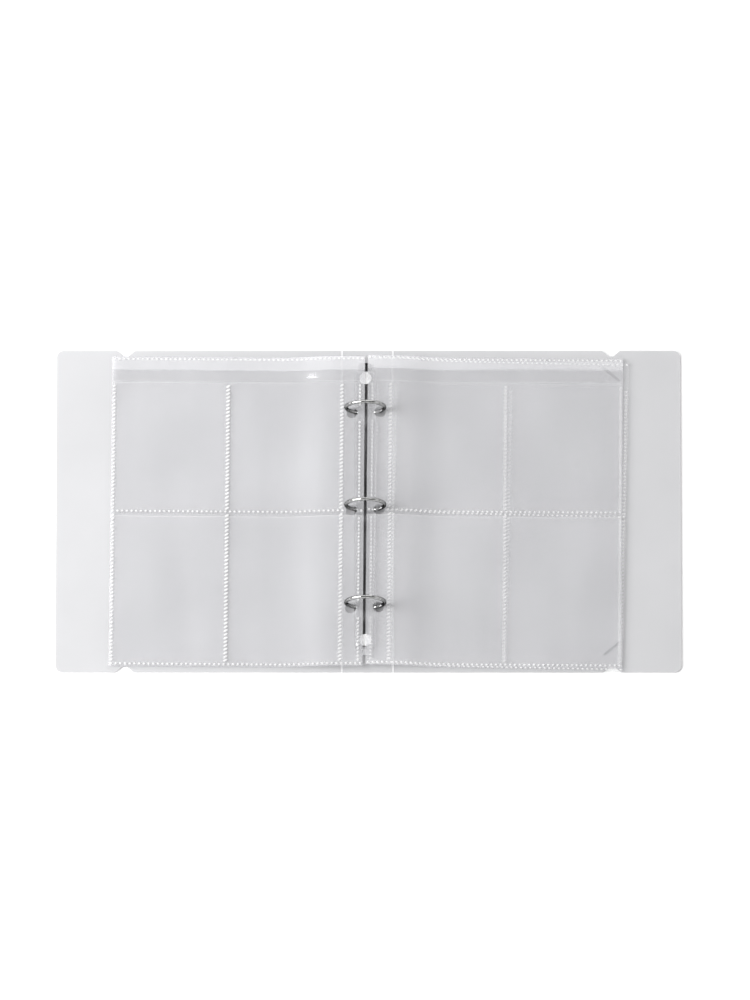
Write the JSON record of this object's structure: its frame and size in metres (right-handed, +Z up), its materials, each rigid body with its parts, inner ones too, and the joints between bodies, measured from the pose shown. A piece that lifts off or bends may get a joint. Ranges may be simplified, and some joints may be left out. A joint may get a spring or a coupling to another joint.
{
  "type": "ring binder album",
  "caption": "Open translucent three-ring album lying flat, with clear four-pocket film sheets on both sides of a slim spine mechanism.",
  "frame": {"origin": "under the middle of the rings, on the surface that the album lies on", "axes": "+X across the open album towards the back cover, +Y along the spine, +Z up"},
  "size_m": [0.4283, 0.231, 0.0298],
  "materials": {
    "cover": "frosted translucent",
    "film": "clear gloss",
    "flap": "clear gloss",
    "ring": "polished",
    "mechanism": "nickel plated",
    "carrier": "plain steel",
    "trigger": "nickel plated",
    "rivet": "bright"
  },
  "bodies": {
    "spine": {"spine_panel": "cover", "housing": "mechanism", "rivets": "rivet"},
    "front_cover": {"front_cover": "cover", "front_crease": "cover"},
    "back_cover": {"back_cover": "cover", "back_crease": "cover"},
    "left_sheets": {"left_sheet_1_back": "film", "left_sheet_1_lower_pocket": "film", "left_sheet_1_upper_pocket": "film", "left_sheet_1_flap": "flap", "left_sheet_2_back": "film", "left_sheet_2_lower_pocket": "film", "left_sheet_2_upper_pocket": "film", "left_sheet_2_flap": "flap", "left_sheet_3_back": "film", "left_sheet_3_lower_pocket": "film", "left_sheet_3_upper_pocket": "film", "left_sheet_3_flap": "flap"},
    "right_sheets": {"right_sheet_1_back": "film", "right_sheet_1_lower_pocket": "film", "right_sheet_1_upper_pocket": "film", "right_sheet_1_flap": "flap", "right_sheet_2_back": "film", "right_sheet_2_lower_pocket": "film", "right_sheet_2_upper_pocket": "film", "right_sheet_2_flap": "flap", "right_sheet_3_back": "film", "right_sheet_3_lower_pocket": "film", "right_sheet_3_upper_pocket": "film", "right_sheet_3_flap": "flap"},
    "left_top_sheet": {"left_sheet_4_back": "film", "left_sheet_4_lower_pocket": "film", "left_sheet_4_upper_pocket": "film", "left_sheet_4_flap": "flap"},
    "right_top_sheet": {"right_sheet_4_back": "film", "right_sheet_4_lower_pocket": "film", "right_sheet_4_upper_pocket": "film", "right_sheet_4_flap": "flap"},
    "left_half_rings": {"left_carrier": "carrier", "left_ring_1": "ring", "left_ring_2": "ring", "left_ring_3": "ring"},
    "right_half_rings": {"right_carrier": "carrier", "right_ring_1": "ring", "right_ring_2": "ring", "right_ring_3": "ring"},
    "top_trigger": {"top_trigger": "trigger"},
    "bottom_trigger": {"bottom_trigger": "trigger"}
  },
  "joints": [
    {"name": "front_cover_fold", "type": "hinge", "parent": "spine", "child": "front_cover", "pos_m": [-0.01635, 0, 0.0005], "axis": [0, 1, 0], "range_deg": [0, 90], "deforming": ["front_crease"]},
    {"name": "back_cover_fold", "type": "hinge", "parent": "spine", "child": "back_cover", "pos_m": [0.01865, 0, 0.0005], "axis": [0, -1, 0], "range_deg": [0, 90], "deforming": ["back_crease"]},
    {"name": "left_sheets_turn", "type": "hinge", "parent": "spine", "child": "left_sheets", "pos_m": [0, 0, 0.0154], "axis": [0, 1, 0], "range_deg": [0, 90]},
    {"name": "right_sheets_turn", "type": "hinge", "parent": "spine", "child": "right_sheets", "pos_m": [0, 0, 0.0154], "axis": [0, -1, 0], "range_deg": [0, 90]},
    {"name": "left_top_sheet_turn", "type": "hinge", "parent": "left_sheets", "child": "left_top_sheet", "pos_m": [0, 0, 0.0154], "axis": [0, -1, 0], "range_deg": [-165, 0], "deforming": ["left_sheet_4_back", "left_sheet_4_lower_pocket", "left_sheet_4_upper_pocket", "left_sheet_4_flap"]},
    {"name": "right_top_sheet_turn", "type": "hinge", "parent": "right_sheets", "child": "right_top_sheet", "pos_m": [0, 0, 0.0154], "axis": [0, 1, 0], "range_deg": [-165, 0], "deforming": ["right_sheet_4_back", "right_sheet_4_lower_pocket", "right_sheet_4_upper_pocket", "right_sheet_4_flap"]},
    {"name": "rings_open", "type": "hinge", "parent": "spine", "child": "left_half_rings", "pos_m": [-0.0066, 0, 0.0027], "axis": [0, 1, 0], "range_deg": [-12, 0], "stiffness_Nm_per_rad": 0.3, "springref_deg": 11.46},
    {"name": "right_rings_open", "type": "hinge", "parent": "spine", "child": "right_half_rings", "pos_m": [0.0066, 0, 0.0027], "axis": [0, -1, 0], "range_deg": [-12, 0]},
    {"name": "top_trigger_press", "type": "hinge", "parent": "spine", "child": "top_trigger", "pos_m": [0, 0.0885, 0.0027], "axis": [1, 0, 0], "range_deg": [-12, 0]},
    {"name": "bottom_trigger_press", "type": "hinge", "parent": "spine", "child": "bottom_trigger", "pos_m": [0, -0.0885, 0.0027], "axis": [-1, 0, 0], "range_deg": [-12, 0]}
  ],
  "couplings": [
    {"joint": "left_sheets_turn", "follows": "front_cover_fold", "ratio": 1},
    {"joint": "right_sheets_turn", "follows": "back_cover_fold", "ratio": 1},
    {"joint": "right_rings_open", "follows": "rings_open", "ratio": 1},
    {"joint": "top_trigger_press", "follows": "rings_open", "ratio": 1},
    {"joint": "bottom_trigger_press", "follows": "rings_open", "ratio": 1}
  ]
}
